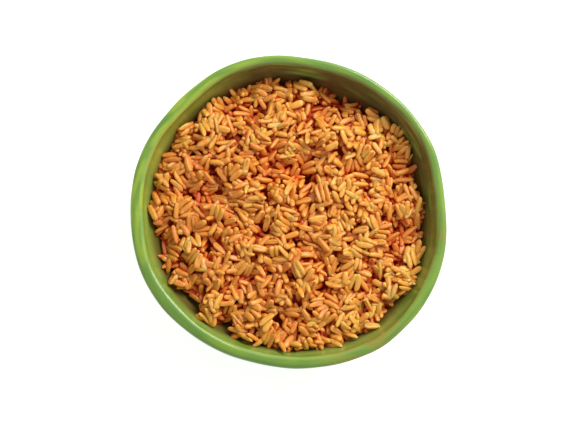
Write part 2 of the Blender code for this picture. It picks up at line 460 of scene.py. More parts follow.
@dataclass
class GlazedBowl:
    """The bowl: one turned piece, pressed out of round by hand, with an uneven lip."""

    rim_radius: float = 82.5 * MM
    height: float = 63.0 * MM
    wall: float = 5.8 * MM
    lip_rise: float = 2.3 * MM
    lip_squareness: float = 2.3
    base: float = 8.6 * MM
    floor_level: float = 9.5 * MM
    wall_fullness: float = 1.8
    floor_fullness: float = 2.3
    foot_radius: float = 41.0 * MM
    foot_width: float = 6.5 * MM
    foot_recess: float = 3.5 * MM
    foot_edge: float = 0.8 * MM
    waves: tuple[Wave, ...] = (
        (2, 1.1 * MM, 147), (3, 0.7 * MM, 77), (4, 0.7 * MM, 37), (5, 0.35 * MM, 33), (6, 0.3 * MM, 38),
        (7, 0.10 * MM, 8), (8, 0.23 * MM, 25), (9, 0.15 * MM, 25), (10, 0.13 * MM, 22),
    )
    lifts: tuple[Wave, ...] = ((2, 0.4 * MM, 60), (3, 0.3 * MM, 200))
    lift_onset: int = 3
    edge_wander: tuple[Wave, ...] = (
        (1, 0.95 * MM, 30), (5, 0.16 * MM, 20), (7, 0.18 * MM, 200), (9, 0.14 * MM, 75), (13, 0.10 * MM, 10),
    )
    lip_lean: float = 0.14  # slope of the lip's top, which falls outward on one side and inward opposite
    lean_azimuth: float = 235.0
    dent_depth: float = 0.40 * MM
    dent_length: float = 17.0 * MM
    dent_rise: float = 12.0 * MM  # height in which the dents grow in above the foot
    lip_reach: float = 5.0 * MM  # how far below the lip its lean and wander fade
    level_rounds: int = 3  # in which the pressed wall's level is found
    turn_steps: int = 360
    wall_steps: int = 40
    lip_steps: int = 24
    yellow_patches: tuple[Patch, ...] = ((128, 28), (178, 20))
    ochre_patches: tuple[Patch, ...] = ((302, 16), (352, 6))
    straw_patches: tuple[Patch, ...] = ((148, 20),)  # on the inside only
    # Painted shade, with the rice's orange bounce: inside only, where the wall faces away from the light.
    painted_shade_brown_patches: tuple[Patch, ...] = ((38, 48), (92, 26))
    painted_shade_green_patches: tuple[Patch, ...] = ((265, 24), (225, 22))  # outside only: painted shade where the outer shoulder faces away from the light
    thin_glaze_reach: float = 12.0 * MM  # how far below the lip the glaze stays thin
    painted_shade_level: float = 63.0 * MM  # where the painted shade on the outer shoulder starts
    painted_shade_fade: float = 1.2 * MM
    lining_edge: float = 1.95 * MM  # how far outside the mouth the colours of the inside start
    lining_fade: float = 2.6 * MM
    stain_and_shade_level: float = 51.5 * MM  # below it the wall darkens towards the rice: a sauce stain and painted shade where wall and rice meet
    stain_and_shade_depth: float = 6.5 * MM
    stroke_length: float = 16.0 * MM
    stroke_width: float = 2.2 * MM
    finish: Glaze = field(default_factory=Glaze)

    def __post_init__(self) -> None:
        """Works out what the sizes imply."""
        self.top = self.height - self.lip_rise
        self.depth = self.top - self.floor_level
        self.mouth_radius = self.rim_radius - self.wall
        self.shift = np.zeros(2)

    def wall_profile(self, at_lip: float = 0.0, at_floor: float = 0.0) -> Array:
        """Profile of the inside from the floor's middle to the lip, moved outward along its normal.

        Args:
            at_lip: How far it is moved at the lip.
            at_floor: How far it is moved at the floor.

        Returns:
            One row for each point: distance from the axis, and level.
        """
        turn = math.pi / 2 * np.linspace(1, 0, self.wall_steps + 1)
        across_share = np.maximum(np.cos(turn), 0.0) ** (2 / self.floor_fullness)
        depth_share = np.sin(turn) ** (2 / self.wall_fullness)
        slope_across = self.floor_fullness * across_share ** (self.floor_fullness - 1) / self.mouth_radius
        slope_down = self.wall_fullness * depth_share ** (self.wall_fullness - 1) / self.depth
        length = np.hypot(slope_across, slope_down)
        outward = at_lip + (at_floor - at_lip) * depth_share
        across = self.mouth_radius * across_share + outward * slope_across / length
        level = self.top - self.depth * depth_share - outward * slope_down / length
        return np.column_stack((across, level))

    def lip_profile(self) -> Array:
        """Rounding over the top of the wall.

        Returns:
            One row for each point, from inside to outside, without the two ends.
        """
        turn = math.pi * np.linspace(1, 0, self.lip_steps + 1)[1:-1]
        power = 2 / self.lip_squareness
        aside = np.copysign(np.abs(np.cos(turn)) ** power, np.cos(turn))
        across = self.rim_radius - self.wall / 2 + self.wall / 2 * aside
        return np.column_stack((across, self.top + self.lip_rise * np.sin(turn) ** power))

    def foot_profile(self) -> Array:
        """Ring that the bowl stands on.

        Returns:
            One row for each point, from the ring's outer edge in to the middle of the recess.
        """
        inner = self.foot_radius - self.foot_width
        return np.array(
            [
                (self.foot_radius, self.foot_edge),
                (self.foot_radius - self.foot_edge, 0.0),
                (inner + self.foot_edge, 0.0),
                (inner, self.foot_edge),
                (inner, self.foot_recess),
                (0.0, self.foot_recess),
            ]
        )

    def pressed(self, across: Array, level: Array, azimuth: Array) -> tuple[Array, Array]:
        """Where the potter's hands leave points of the turned shape: the lip moves most, the foot not at all.

        Args:
            across: Distances from the axis.
            level: Levels.
            azimuth: Azimuths in radians.

        Returns:
            The new distances from the axis, and the new levels.
        """
        share = np.maximum(level / self.height, 0.0)
        moved = across + wave_sum(self.waves, azimuth) * share * np.minimum(across / self.foot_radius, 1.0)
        return moved, level + wave_sum(self.lifts, azimuth) * share**self.lift_onset

    def near_lip(self, level: Array) -> Array:
        """How much the lip's own unevenness shows at a level: 1 at the lip, falling to 0."""
        return np.exp(-(((self.height - level) / self.lip_reach) ** 2))

    def hand_marks(self, across: Array, level: Array, azimuth: Array) -> tuple[Array, Array]:
        """Adds the lip's wander and shallow dents to the pressed shape.

        Args:
            across: Distances from the axis.
            level: Levels.
            azimuth: Azimuths in radians.

        Returns:
            The new distances from the axis, and the new levels.
        """
        near_lip = self.near_lip(level)
        inner_side = np.clip((self.rim_radius - across) / self.wall, 0.0, 1.0)
        from_middle = np.clip(across - (self.rim_radius - self.wall / 2), -self.wall / 2, self.wall / 2)
        lean = near_lip * self.lip_lean * from_middle
        level = level - lean * np.cos(azimuth - math.radians(self.lean_azimuth))
        across = across + near_lip * inner_side * wave_sum(self.edge_wander, azimuth)
        spots = np.stack((across * np.cos(azimuth), across * np.sin(azimuth), level), axis=-1)
        dents = noise_at(spots.reshape(-1, 3), self.dent_length).reshape(level.shape)
        above_foot = np.clip(level / self.dent_rise, 0.0, 1.0)
        return across - self.dent_depth * above_foot * (1 + dents), level

    def inside_level(self, x: Array, y: Array) -> Array:
        """Level of the glaze under points of the mouth, seen from above.

        Args:
            x: Places to the right.
            y: Places away from the viewer.

        Returns:
            The wall's or floor's level there, and the lip's own level past the wall.
        """
        x, y = x - self.shift[0], y - self.shift[1]
        azimuth = np.arctan2(y, x)
        across = np.hypot(x, y)
        level = np.full_like(across, self.top)
        for _ in range(self.level_rounds):
            press = wave_sum(self.waves, azimuth) * level / self.height
            turned = across - press * np.minimum(across / self.foot_radius, 1)
            share = np.clip(turned / self.mouth_radius, 0, 1)
            level = self.top - self.depth * (1 - share**self.floor_fullness) ** (1 / self.wall_fullness)
        return level

    def inside_radius(self, level: float, azimuth: Array) -> Array:
        """Distance from the axis to the glaze at a level.

        Args:
            level: The level.
            azimuth: Azimuths in radians.

        Returns:
            The distances.
        """
        share = 1 - ((self.top - level) / self.depth) ** self.wall_fullness
        turned = self.mouth_radius * share ** (1 / self.floor_fullness)
        return turned + wave_sum(self.waves, azimuth) * level / self.height

    def build(self) -> bpy.types.Object:
        """Turns, presses and glazes the bowl, and centres it where the solid one stands.

        Returns:
            The bowl.
        """
        inside = self.wall_profile()
        outside = self.wall_profile(self.wall, self.base)
        outside = outside[outside[:, 0] > self.foot_radius][::-1]
        profile = np.vstack((inside, self.lip_profile(), outside, self.foot_profile()))
        azimuth = np.linspace(0, 2 * math.pi, self.turn_steps, endpoint=False)[None, :]
        across, level = self.pressed(profile[1:-1, :1], profile[1:-1, 1:], azimuth)
        across, level = self.hand_marks(across, level, azimuth)
        rings = np.stack((across * np.cos(azimuth), across * np.sin(azimuth), level), axis=-1).reshape(-1, 3)
        poles = [(0.0, 0.0, profile[0, 1]), (0.0, 0.0, profile[-1, 1])]
        points = np.vstack((poles[:1], rings, poles[1:]))
        self.shift = self._fit(points)
        marks = {**self._marks(points), "strokes": self._strokes(profile, azimuth)}
        made = mesh_piece("glazed_bowl", points, ring_faces(len(profile) - 2, self.turn_steps), marks)
        made.data.materials.append(self.finish.material())
        return made

    def _fit(self, points: Array) -> Array:
        """Moves the points so that their box stands where the solid bowl's box does.

        Args:
            points: The bowl's points, which are changed.

        Returns:
            How far they moved, in x and y.
        """
        low, high = (np.array(corner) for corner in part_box("bowl"))
        own_low, own_high = points.min(0), points.max(0)
        moved = ((low + high) / 2 - (own_low + own_high) / 2)[:2]
        points[:, :2] += moved
        scale = np.minimum((high - low) / (own_high - own_low), 1.0)
        points *= scale
        return moved

    def _marks(self, points: Array) -> dict[str, Array]:
        """Where the glaze changes.

        Args:
            points: The bowl's points.

        Returns:
            How far each point is inside the bowl, and how much of each other colour its part of the bowl has.
        """
        level = points[:, 2]
        ring = np.arange(len(points)) / self.turn_steps
        across = np.hypot(points[:, 0] - self.shift[0], points[:, 1] - self.shift[1])
        azimuth = np.arctan2(points[:, 1], points[:, 0])
        pressed = wave_sum(self.waves, azimuth) * level / self.height
        pressed += wave_sum(self.edge_wander, azimuth) * self.near_lip(level)
        from_edge = (self.mouth_radius + pressed + self.lining_edge - across) / self.lining_fade
        first_side = (level > self.floor_level) & (ring < self.wall_steps + self.lip_steps)
        inside = np.clip(from_edge, 0.0, 1.0) * first_side
        outer_side = ring >= self.wall_steps + self.lip_steps // 2
        below_lip = np.clip((self.painted_shade_level - level) / self.painted_shade_fade, 0, 1)
        ran_thin = np.exp((level - self.height) / self.thin_glaze_reach)
        shares = {
            "inside": inside,
            "stain_and_shade": inside * np.clip((self.stain_and_shade_level - level) / self.stain_and_shade_depth, 0, 1),
            "yellow": patch_sum(self.yellow_patches, azimuth),
            "ochre": patch_sum(self.ochre_patches, azimuth) * ran_thin,
            "straw": patch_sum(self.straw_patches, azimuth),
            # Painted shade on the inside's shaded side.
            "painted_shade_brown": patch_sum(self.painted_shade_brown_patches, azimuth),
            # Painted shade on the outer shoulder.
            "painted_shade_green": patch_sum(self.painted_shade_green_patches, azimuth) * outer_side * below_lip,
        }
        return {name: np.minimum(share, 1.0) for name, share in shares.items()}

    def _strokes(self, profile: Array, azimuth: Array) -> Array:
        """Brush marks in the glaze, long round the bowl and narrow across the wall.

        Args:
            profile: The whole profile.
            azimuth: Azimuths of the points in each ring, in radians.

        Returns:
            One number for each of the bowl's points, mostly from -0.5 to 0.5.
        """
        run = np.cumsum(np.hypot(*np.diff(profile, axis=0).T))[:-1]
        scale = self.rim_radius / self.stroke_length
        around = scale * np.column_stack((np.cos(azimuth[0]), np.sin(azimuth[0])))
        marks = noise_at((*spot, along / self.stroke_width) for along in run for spot in around)
        return np.concatenate(([0.0], marks, [0.0]))


@dataclass(frozen=True)
class GrainShape:
    """The form of one kind of grain."""

    length: float
    width: float
    share: float  # of all grains
    head: float = 8.0  # bluntness of one end: 2 is an ellipse, more is blunter
    tail: float = 5.0
    taper: float = 0.20  # how much narrower it is towards its ends
    squareness: float = 3.0  # of its section: 2 is an ellipse, more is squarer
    flatness: float = 0.84  # thickness for each width
    bend: float = 0.2 * MM
    groove: float = 0.12  # depth of the crease along it, for each half width
    split: float = 0.0  # how far the grain has burst open along the crease
    cut: float = 0.25  # slant of an end

    @property
    def bluntness(self) -> float:
        """Bluntness of its two ends on average."""
        return (self.head + self.tail) / 2


class GrainKind(Enum):
    """The kinds of grain in the heap."""

    PLUMP = GrainShape(9.1 * MM, 3.1 * MM, 0.22)
    SLENDER = GrainShape(9.9 * MM, 2.75 * MM, 0.22, head=6.0, tail=4.0, taper=0.30)
    CURVED = GrainShape(9.6 * MM, 2.95 * MM, 0.22, taper=0.25, bend=0.6 * MM)
    BROKEN = GrainShape(6.8 * MM, 2.9 * MM, 0.14, tail=8.0, taper=0.16, squareness=2.6, cut=0.45)
    BURST = GrainShape(9.2 * MM, 3.35 * MM, 0.20, head=5.0, tail=7.0, taper=0.15, groove=0.26, split=0.5)


@dataclass
class Grain:
    """One grain where it lies."""

    kind: GrainKind
    x: float
    y: float
    level: float
    heading: float
    slope: float
    length: float
    width: float
    tone: float


@dataclass
class HeapSurface:
    """The height of the rice over a square grid, raised grain by grain."""

    bowl: GlazedBowl
    mean: Array = field(init=False)
    half: float = 79.0 * MM
    step: float = 0.35 * MM
    wall_clearance: float = 0.25 * MM
    stations: int = 13
    widest_station: float = 0.96
    laterals: tuple[float, ...] = (-0.85, -0.45, 0.0, 0.45, 0.85)
    sinking: float = 1.3 * MM  # how far moist grains press into each other
    headings: int = 10  # directions in which a point looks for the sky
    reaches: tuple[float, ...] = (0.6 * MM, 1.3 * MM, 2.6 * MM, 5.2 * MM)

    def __post_init__(self) -> None:
        """Lays out the grid and the points where a grain is felt from below."""
        self.axis = np.arange(-self.half, self.half + self.step, self.step)
        self.x, self.y = np.meshgrid(self.axis, self.axis)
        grow = 1 + self.wall_clearance / self.bowl.mouth_radius
        self.level = self.bowl.inside_level(self.x * grow, self.y * grow)
        self.owner = np.full(self.level.shape, -1)
        self.along = np.linspace(-self.widest_station, self.widest_station, self.stations)
        self.aside = np.array(self.laterals)

    def cell(self, place: Array) -> Array:
        """Grid numbers of places along one axis."""
        return np.clip(np.rint((place + self.half) / self.step).astype(int), 0, len(self.axis) - 1)

    def _felt(self, grains: Array, slope: Array) -> tuple[Array, Array]:
        """Lowest level of a grain's axis over each of its stations, so that it clears what lies below.

        Args:
            grains: Rows of x, y, heading, length, width, thickness and bluntness.
            slope: Slope of each grain along its length.

        Returns:
            The distance of each station from the grain's middle, and the level at each station.
        """
        x, y, heading, length, width, thick, blunt = grains.T[:, :, None, None]
        flat = 1 / np.sqrt(1 + slope[:, None, None] ** 2)
        along = self.along[None, :, None]
        round_share = np.sqrt(1 - np.abs(along) ** blunt)
        far = along * length / 2 * flat
        side = self.aside[None, None, :] * round_share * width / 2
        rows = self.cell(y + far * np.sin(heading) + side * np.cos(heading))
        columns = self.cell(x + far * np.cos(heading) - side * np.sin(heading))
        half_thick = thick / 2 * round_share * np.sqrt(1 - self.aside[None, None, :] ** 2) / flat
        felt = (self.level[rows, columns] + half_thick).max(axis=2)
        return far[:, :, 0], felt

    def rest(self, grains: Array) -> tuple[Array, Array]:
        """Lays grains on the heap, each as if it were alone: it tips until both halves are held.

        Args:
            grains: Rows of x, y, heading, length, width, thickness and bluntness.

        Returns:
            The level of each grain's middle, and its slope.
        """
        far, felt = self._felt(grains, np.zeros(len(grains)))
        middle = self.stations // 2
        left, right = far[:, :middle, None], far[:, None, middle + 1:]
        low, high = felt[:, :middle, None], felt[:, None, middle + 1:]
        chords = (low * right - high * left) / (right - left)
        level = np.maximum(chords.max(axis=(1, 2)), felt[:, middle])
        least = ((high - level[:, None, None]) / right).max(axis=(1, 2))
        most = ((low - level[:, None, None]) / left).min(axis=(1, 2))
        slope = np.clip(0.0, np.minimum(least, most), np.maximum(least, most))
        far, felt = self._felt(grains, slope)
        level = (felt - slope[:, None] * far).max(axis=1)
        return level - self.sinking, slope

    def local_mean(self, reach: float) -> Array:
        """Mean height of the heap round each cell.

        Args:
            reach: How far the mean reaches to each side.

        Returns:
            The heights, over the same grid.
        """
        cells = round(reach / self.step)
        padded = np.pad(self.level, cells, "edge")
        windows = np.lib.stride_tricks.sliding_window_view(padded, (2 * cells + 1,) * 2)
        return windows.mean(axis=(2, 3))

    def hidden(self, points: Array) -> Array:
        """How much of the sky the heap hides from points in it.

        Args:
            points: An array whose last axis is x, y and z.

        Returns:
            The shares, from 0 on a free ridge to nearly 1 deep in a gap.
        """
        x, y, z = points[..., 0], points[..., 1], points[..., 2]
        seen = np.zeros(x.shape)
        for heading in np.linspace(0, 2 * math.pi, self.headings, endpoint=False):
            rise = np.zeros(x.shape)
            for reach in self.reaches:
                rows = self.cell(y + reach * math.sin(heading))
                columns = self.cell(x + reach * math.cos(heading))
                rise = np.maximum(rise, (self.level[rows, columns] - z) / reach)
            seen += 1 / (1 + rise**2) / self.headings
        return 1 - seen

    def bury(self, grain: Grain, number: int) -> None:
        """Raises the surface over a grain that has come to rest.

        Args:
            grain: The grain.
            number: Its number, kept where it is what shows from above.
        """
        shape = grain.kind.value
        flat = 1 / math.sqrt(1 + grain.slope**2)
        reach = grain.length / 2
        rows = slice(self.cell(grain.y - reach), self.cell(grain.y + reach) + 1)
        columns = slice(self.cell(grain.x - reach), self.cell(grain.x + reach) + 1)
        across, up = self.x[rows, columns] - grain.x, self.y[rows, columns] - grain.y
        far = across * math.cos(grain.heading) + up * math.sin(grain.heading)
        side = up * math.cos(grain.heading) - across * math.sin(grain.heading)
        along = np.clip(np.abs(far) / (grain.length / 2 * flat), 0, 1)
        rise = 1 - along**shape.bluntness - (side / (grain.width / 2)) ** 2
        thick = grain.width * shape.flatness / 2 / flat
        top = grain.level + grain.slope * far + thick * np.sqrt(np.maximum(rise, 0))
        raised = (rise > 0) & (top > self.level[rows, columns])
        self.level[rows, columns][raised] = top[raised]
        self.owner[rows, columns][raised] = number


@dataclass
class RiceHeap:
    """The heap: grains of true size, laid one by one on a core that fills the bowl below them."""

    bowl: GlazedBowl
    crown_level: float = 53.6 * MM
    sag: float = 4.8 * MM
    edge_drop: float = 9.0 * MM
    edge_onset: int = 50
    radius: float = 72.2 * MM
    lump_height: float = 7.0 * MM
    lump_length: float = 16.0 * MM
    bays: tuple[tuple[float, float, float], ...] = (
        (0, 5, -2.5 * MM), (17, 7, 2.5 * MM), (43, 11, -14.0 * MM), (67, 10, 5.0 * MM), (100, 5, -3.0 * MM),
        (120, 5, 2.0 * MM), (136, 9, -5.5 * MM), (150, 4, -1.0 * MM), (161, 5, -2.5 * MM), (180, 5, -3.0 * MM),
        (192, 6, 4.0 * MM), (221, 6, 3.5 * MM), (240, 5, 1.5 * MM), (292, 10, -2.5 * MM), (309, 6, -2.5 * MM),
        (320, 4, 2.0 * MM), (333, 8, -9.0 * MM), (351, 5, 2.0 * MM),
    )  # azimuth, reach to either side, and how far the heap's edge stays back there
    bay_onset: int = 10
    pit_depth: float = 10.0 * MM
    pit_length: float = 7.5 * MM
    pit_rarity: float = 0.08  # 0 is pits over half of the heap, more is fewer and smaller ones
    mate_shares: tuple[float, ...] = (0.56, 0.28, 0.12, 0.04)  # chances that none to three grains stick to one
    mate_gap: float = 0.90  # between their axes, in widths
    mate_slip: float = 1.6 * MM
    mate_spread: float = 0.26
    mate_sides: tuple[float, ...] = (-1.0, 1.0, 2.0)  # where they lie beside it, in gaps
    mate_lengths: tuple[float, float] = (0.8, 1.1)  # least and most, for each length of its own
    mate_widths: tuple[float, float] = (0.88, 1.08)
    mate_rise: tuple[float, float] = (-0.2 * MM, 0.4 * MM)  # mean and spread of how much higher they lie
    mate_tip: float = 0.08  # spread of how much steeper they lie
    mate_sinking: float = 1.1 * MM  # how far a sticking grain may press into what lies below
    mate_proud: float = 1.3 * MM  # how far it may stand above the mean surface
    core_depth: float = 6.5 * MM
    core_edge_level: float = 36.0 * MM
    core_gap: float = 0.35 * MM
    core_onset: int = 10
    core_swell: float = 12.0 * MM  # the most that the core stands above its edge
    core_step: float = 1.0 * MM  # the least from its edge to the next ring below
    bump_height: float = 0.8 * MM
    bump_length: float = 3.0 * MM
    least_depth: float = 1.0 * MM  # of rice where a grain may land
    core_rings: int = 60
    core_sides: int = 200
    most_grains: int = 2950
    tries: int = 16
    picks: int = 6
    patience: int = 260  # misses in a row before the heap counts as full
    lengths: tuple[float, float] = (0.78, 1.12)  # least and most, for each usual length
    widths: tuple[float, float] = (0.80, 1.07)
    settled: float = 0.25  # share of the grains that roll to the lowest place, not just to a free one
    steepest: float = 1.5
    dive: float = 0.46  # spread of the slope by which one end sinks in among its neighbours
    dive_sinking: float = 0.22  # how deep its middle goes then, for each unit of slope and of length
    proud: tuple[float, float] = (0.1 * MM, 1.3 * MM)  # mean and spread of how far a grain may stand proud
    rings: int = 12
    sides: int = 14
    crevice_reach: float = 1.8 * MM
    sauce_and_shade_start: float = 0.2 * MM  # below the grains' usual level, where painted shade, partly sauce, begins to redden them
    sauce_and_shade_depth: float = 4.0 * MM  # further down, where the painted shade and sauce are reddest
    sauce_and_shade_share: float = 0.75  # how much lying low reddens a grain that nothing shades, as painted shade and sauce
    shaded: tuple[float, float] = (0.30, 0.92)  # hidden share of the sky where the painted shade shows first, and most
    tip_start: float = 0.7  # where a grain's paler tips start, for each half length
    tone_mean: float = 0.45  # from russet at 0 through orange to gold at 1
    tone_spread: float = 0.10
    patch_tone: float = 0.24  # how much paler or redder whole patches of the heap are
    patch_length: float = 20.0 * MM
    painted_light_side: float = 350.0  # azimuth of the side painted paler as painted light, in degrees
    painted_light_side_tone: float = 0.13
    painted_top_light: float = 0.30  # painted light: how much more golden a grain is painted where it stands high
    painted_top_light_height: float = 2.0 * MM
    finish: CookedRice = field(default_factory=CookedRice)
    core_finish: SauceAndShadeCore = field(default_factory=SauceAndShadeCore)

    def dome_level(self, x: Array, y: Array) -> Array:
        """Height of the smooth dome that the rice would make if it were heaped evenly out to the wall.

        Args:
            x: Places to the right.
            y: Places away from the viewer.

        Returns:
            The levels.
        """
        share = np.hypot(x - self.bowl.shift[0], y - self.bowl.shift[1]) / self.radius
        return self.crown_level - self.sag * share**2

    def mean_level(self, x: Array, y: Array) -> Array:
        """Height of the rice's mean surface, with its lumps and pits but without its grains.

        Args:
            x: Places to the right.
            y: Places away from the viewer.

        Returns:
            The levels.
        """
        level = self.dome_level(x, y)
        x, y = x - self.bowl.shift[0], y - self.bowl.shift[1]
        azimuth = np.arctan2(y, x)
        back = sum(depth * bell(azimuth, middle, spread) for middle, spread, depth in self.bays)
        share = np.hypot(x, y) / (self.radius - back)
        level -= back * np.minimum(share, 1.0) ** self.bay_onset
        level -= self.edge_drop * np.minimum(share, 1.1) ** self.edge_onset
        spots = np.column_stack((x.ravel(), y.ravel()))
        lumps = self.lump_height * noise_at((*spot, SEED) for spot in spots / self.lump_length)
        pits = np.maximum(noise_at((*spot, SEED) for spot in spots / self.pit_length) - self.pit_rarity, 0.0)
        return level + (lumps - self.pit_depth * pits).reshape(level.shape)

    def lay(self, surface: HeapSurface) -> list[Grain]:
        """Drops grains where the heap is lowest, until it has its height everywhere.

        Args:
            surface: The heap's surface, which rises with each grain.

        Returns:
            The grains, from the bottom up.
        """
        mean = surface.mean = self.mean_level(surface.x, surface.y)
        walls = surface.level.copy()
        surface.level = np.maximum(surface.level, mean - self.core_depth)
        room = np.argwhere(walls < mean - self.least_depth)
        rng = np.random.default_rng(SEED)
        kinds = list(GrainKind)
        shares = np.array([kind.value.share for kind in kinds])
        grains: list[Grain] = []
        misses = 0
        while len(grains) < self.most_grains and misses < self.patience:
            spots = room[rng.integers(len(room), size=self.tries)]
            lack = mean[spots[:, 0], spots[:, 1]] - surface.level[spots[:, 0], spots[:, 1]]
            spots = spots[np.argsort(-lack)[: self.picks]]
            kind = kinds[rng.choice(len(kinds), p=shares / shares.sum())]
            shape = kind.value
            length = shape.length * rng.uniform(*self.lengths)
            width = shape.width * rng.uniform(*self.widths)
            headings = rng.uniform(0, math.pi, len(spots))
            same = np.tile((length, width, width * shape.flatness, shape.bluntness), (len(spots), 1))
            rows = np.column_stack((surface.axis[spots[:, ::-1]], headings, same))
            level, slope = surface.rest(rows)
            over = level - mean[spots[:, 0], spots[:, 1]]
            over[np.abs(slope) > self.steepest] = np.inf
            fitting = np.flatnonzero(over < rng.normal(*self.proud))
            if len(fitting) == 0:
                misses += 1
                continue
            misses = 0
            best = int(np.argmin(over)) if rng.random() < self.settled else rng.choice(fitting)
            x, y, heading = rows[best, :3]
            tone = self.local_tone(x, y) + rng.normal(0, self.tone_spread)
            tip = rng.normal(0, self.dive)
            sunk = level[best] - self.dive_sinking * abs(tip) * length
            lead = Grain(kind, x, y, sunk, heading, slope[best] + tip, length, width, tone)
            for grain in (lead, *self._mates(lead, surface, rng)):
                surface.bury(grain, len(grains))
                grains.append(grain)
        shown = np.bincount(surface.owner[surface.owner >= 0], minlength=len(grains))
        kept = [grain for grain, cells in zip(grains, shown, strict=True) if cells > 0]
        logging.info("laid %d grains, %d of them in sight", len(grains), len(kept))
        return kept

    def local_tone(self, x: float, y: float) -> float:
        """Usual tone of the grains round a place: patches because the sauce isn't stirred in evenly, and
        painted light that makes one side paler.

        Args:
            x: Place to the right.
            y: Place away from the viewer.

        Returns:
            The tone.
        """
        # Painted light: grains towards one side of the heap are paler, as if lit more.
        side = math.radians(self.painted_light_side)
        towards_side = (x * math.cos(side) + y * math.sin(side)) / self.radius
        patch = noise.noise(Vector((x, y, self.radius)) / self.patch_length)
        return self.tone_mean + self.patch_tone * patch + self.painted_light_side_tone * towards_side

    def _mates(self, lead: Grain, surface: HeapSurface, rng: np.random.Generator) -> list[Grain]:
        """Grains that stick to the side of another, almost parallel to it.

        Args:
            lead: The grain that they stick to.
            surface: The heap's surface before any of them.
            rng: Source of the random draws.

        Returns:
            The grains, none to three of them.
        """
        mates: list[Grain] = []
        shape = lead.kind.value
        sides = rng.permutation(self.mate_sides)
        count = rng.choice(len(self.mate_shares), p=self.mate_shares)
        for side in sides[:count]:
            aside = side * self.mate_gap * lead.width
            along = rng.normal(0, self.mate_slip)
            x = lead.x + along * math.cos(lead.heading) - aside * math.sin(lead.heading)
            y = lead.y + along * math.sin(lead.heading) + aside * math.cos(lead.heading)
            heading = lead.heading + rng.normal(0, self.mate_spread)
            length = lead.length * rng.uniform(*self.mate_lengths)
            width = lead.width * rng.uniform(*self.mate_widths)
            row = np.array([[x, y, heading, length, width, width * shape.flatness, shape.bluntness]])
            rest_level, rest_slope = surface.rest(row)
            level = lead.level + lead.slope * along + rng.normal(*self.mate_rise)
            slope = lead.slope + rng.normal(0, self.mate_tip)
            over = level - surface.mean[surface.cell(y), surface.cell(x)]
            if level < rest_level[0] - self.mate_sinking or over > self.mate_proud:
                continue
            if level > rest_level[0] + self.mate_sinking:
                level, slope = rest_level[0], rest_slope[0]
            tone = lead.tone + rng.normal(0, self.tone_spread / 2)
            mates.append(Grain(lead.kind, x, y, level, heading, slope, length, width, tone))
        return mates

    def grain_points(
        self, grains: list[Grain], surface: HeapSurface, above: Array, rng: np.random.Generator
    ) -> tuple[Array, dict[str, Array]]:
        """Points of grains of one kind, each with its own small unevenness.

        Args:
            grains: The grains.
            surface: The heap's surface.
            above: Levels over its grid that say how deep each point lies.
            rng: Source of the random draws.

        Returns:
            An array of grain, point and axis, and the marks at each point.
        """
        shape = grains[0].kind.value
        count = len(grains)
        names = ("x", "y", "level", "heading", "slope", "length", "width")
        column = {name: np.array([getattr(grain, name) for grain in grains])[:, None, None] for name in names}
        along = -np.cos(math.pi * (np.arange(self.rings) + 0.5) / self.rings)[None, :, None]
        turn = (2 * math.pi * np.arange(self.sides) / self.sides)[None, None, :]
        vary = rng.normal(0, 1, (count, 6))[:, :, None, None]
        phase = rng.uniform(0, 2 * math.pi, (count, 4))[:, :, None, None]
        blunt = np.where(along > 0, shape.head, shape.tail) * np.exp(0.2 * vary[:, 0])
        body = (1 - shape.taper * along**2) * np.sqrt(np.maximum(1 - np.abs(along) ** blunt, 0.0))
        square = shape.squareness
        section = (np.abs(np.cos(turn)) ** square + np.abs(np.sin(turn)) ** square) ** (-1 / square)
        lumps = 1 + 0.05 * np.sin(2.6 * along + phase[:, 0]) + 0.03 * np.sin(7 * along + phase[:, 1] + turn)
        lumps = lumps + 0.07 * np.cos(2 * turn + 0.8 * along + phase[:, 2])
        lumps = lumps + 0.05 * np.cos(3 * turn + phase[:, 3]) + 0.035 * np.cos(4 * turn + phase[:, 1])
        from_crease = (turn - math.pi / 2 + math.pi) % (2 * math.pi) - math.pi
        crease = shape.groove * np.exp(-((from_crease / 0.5) ** 2)) * (1 - along**2)
        opened = shape.split * np.exp(-((from_crease / 0.45) ** 2)) * np.clip(along * 0.8 + 0.35, 0, 1)
        girth = body * section * lumps * (1 - crease - opened)
        half = column["width"] / 2
        lay_x = along * column["length"] / 2 + 0.0 * turn
        lay_y = half * girth * np.cos(turn) * (1 + shape.split * 0.35 * np.clip(along, 0, 1))
        lay_z = half * shape.flatness * girth * np.sin(turn)
        lay_x = lay_x + shape.cut * np.clip(-along - 0.6, 0, 1) * lay_y * vary[:, 1]
        ends = np.zeros((count, 2, 3))
        ends[:, :, 0] = np.array([-0.5, 0.5]) * column["length"][:, 0]
        rings = np.stack((lay_x, lay_y, lay_z), axis=-1).reshape(count, -1, 3)
        points = np.concatenate((ends[:, :1], rings, ends[:, 1:]), axis=1)
        share = points[:, :, 0] / (column["length"][:, 0] / 2)
        bend = shape.bend * (0.7 + 0.3 * vary[:, 2, :, 0])
        points[:, :, 1] += bend * (1 / 3 - share**2)
        roll = 0.5 * vary[:, 3, 0, 0] + math.pi * (vary[:, 4, 0, 0] > 0.4)
        points = self._placed(points, column, roll)
        # Painted shade, partly sauce: marks that redden and darken points lying deep or hidden from the sky.
        deep = above[surface.cell(points[:, :, 1]), surface.cell(points[:, :, 0])] - points[:, :, 2]
        low = np.clip((deep - self.sauce_and_shade_start) / self.sauce_and_shade_depth, 0, 1)
        shaded = np.interp(surface.hidden(points), self.shaded, (0.0, 1.0))
        sunk = 1 - (1 - self.sauce_and_shade_share * low) * (1 - shaded)
        tip = np.clip((np.abs(share) - self.tip_start) / (1 - self.tip_start), 0, 1)
        # Painted light: points that stand above the local surface are made more golden.
        top_light_share = self.painted_top_light * np.clip(-deep / self.painted_top_light_height, 0, 1)
        tone = np.array([[grain.tone] for grain in grains]) + top_light_share
        return points, {"tone": tone, "sunk": sunk, "low": low, "tip": tip}

